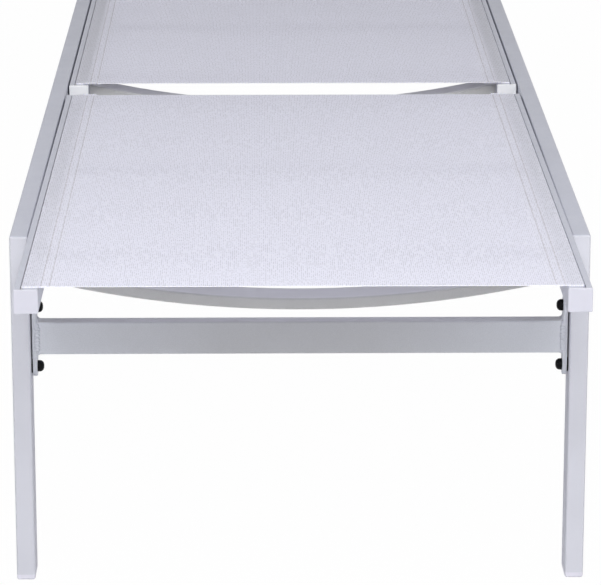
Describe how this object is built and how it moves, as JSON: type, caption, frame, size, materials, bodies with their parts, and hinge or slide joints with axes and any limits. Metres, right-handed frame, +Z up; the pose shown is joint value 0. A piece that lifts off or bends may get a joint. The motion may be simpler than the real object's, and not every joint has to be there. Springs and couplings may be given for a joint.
{
  "type": "sling chaise lounge",
  "caption": "Flat outdoor sling lounger: tubular frame with short legs, woven seat and back panels, and a back that reclines on a prop and toothed racks.",
  "frame": {"origin": "on the floor, below the middle of the overall box", "axes": "+Y runs from the foot end to the head end, +X across, +Z up from the floor"},
  "size_m": [0.68, 1.9803, 0.4381],
  "materials": {
    "frame_powder_coat": "satin silver-grey powder coat",
    "spreader_finish": "satin grey powder coat, a little darker",
    "mechanism_finish": "satin silver-grey powder coat",
    "sling_fabric": "fine coated mesh weave, pale cool grey",
    "white_caps": "moulded white plastic",
    "white_glides": "moulded white plastic",
    "black_fittings": "black moulded plastic",
    "nylon": "natural nylon",
    "rubber_pads": "black rubber",
    "plated_fasteners": "plated steel"
  },
  "bodies": {
    "frame": {"back_stop_left": "mechanism_finish", "back_stop_pads": "rubber_pads", "back_stop_right": "mechanism_finish", "front_glide_left": "white_glides", "front_glide_right": "white_glides", "front_leg_left": "frame_powder_coat", "front_leg_right": "frame_powder_coat", "front_stretcher": "frame_powder_coat", "front_stretcher_plate_left": "frame_powder_coat", "front_stretcher_plate_right": "frame_powder_coat", "hinge_bolts": "plated_fasteners", "hinge_bushes": "nylon", "lock_nuts": "plated_fasteners", "rack_left": "mechanism_finish", "rack_right": "mechanism_finish", "rack_screws": "plated_fasteners", "rear_glide_left": "white_glides", "rear_glide_right": "white_glides", "rear_leg_left": "frame_powder_coat", "rear_leg_right": "frame_powder_coat", "rear_stretcher": "frame_powder_coat", "rear_stretcher_plate_left": "frame_powder_coat", "rear_stretcher_plate_right": "frame_powder_coat", "seat_cap_foot_left": "white_caps", "seat_cap_foot_right": "white_caps", "seat_caps_rear": "white_caps", "seat_rail_bolts": "plated_fasteners", "seat_rail_spacers": "nylon", "seat_sling": "sling_fabric", "seat_sling_rail_left": "frame_powder_coat", "seat_sling_rail_right": "frame_powder_coat", "seat_sling_splines": "nylon", "seat_spreader_bolts": "plated_fasteners", "seat_spreader_foot": "spreader_finish", "seat_spreader_middle": "spreader_finish", "seat_spreader_rear": "spreader_finish", "side_rail_left": "frame_powder_coat", "side_rail_right": "frame_powder_coat", "stretcher_bolts": "plated_fasteners", "stretcher_dome_nuts": "black_fittings", "stretcher_spacers": "black_fittings"},
    "backrest": {"back_sling_rail_left": "frame_powder_coat", "back_sling_rail_right": "frame_powder_coat", "back_sling_splines": "nylon", "back_sling": "sling_fabric", "back_spreader_lower": "spreader_finish", "back_spreader_middle": "spreader_finish", "back_spreader_upper": "spreader_finish", "back_spreader_bolts": "plated_fasteners", "back_cap_hinge_left": "white_caps", "back_cap_hinge_right": "white_caps", "back_caps_head": "white_caps", "prop_pivot_bolts": "plated_fasteners", "prop_pivot_bushes": "nylon", "prop_pivot_nuts": "plated_fasteners"},
    "prop": {"prop_arm_left": "mechanism_finish", "prop_arm_right": "mechanism_finish", "prop_foot_bar": "mechanism_finish", "prop_foot_sleeves": "nylon"}
  },
  "joints": [
    {"name": "back_hinge", "type": "hinge", "parent": "frame", "child": "backrest", "pos_m": [0, 0.164, 0.389], "axis": [1, 0, 0], "range_deg": [0, 70]},
    {"name": "prop_hinge", "type": "hinge", "parent": "backrest", "child": "prop", "pos_m": [0, 0.434, 0.389], "axis": [-1, 0, 0], "range_deg": [0, 140]}
  ],
  "couplings": [
    {"joint": "prop_hinge", "follows": "back_hinge", "ratio": 2}
  ]
}
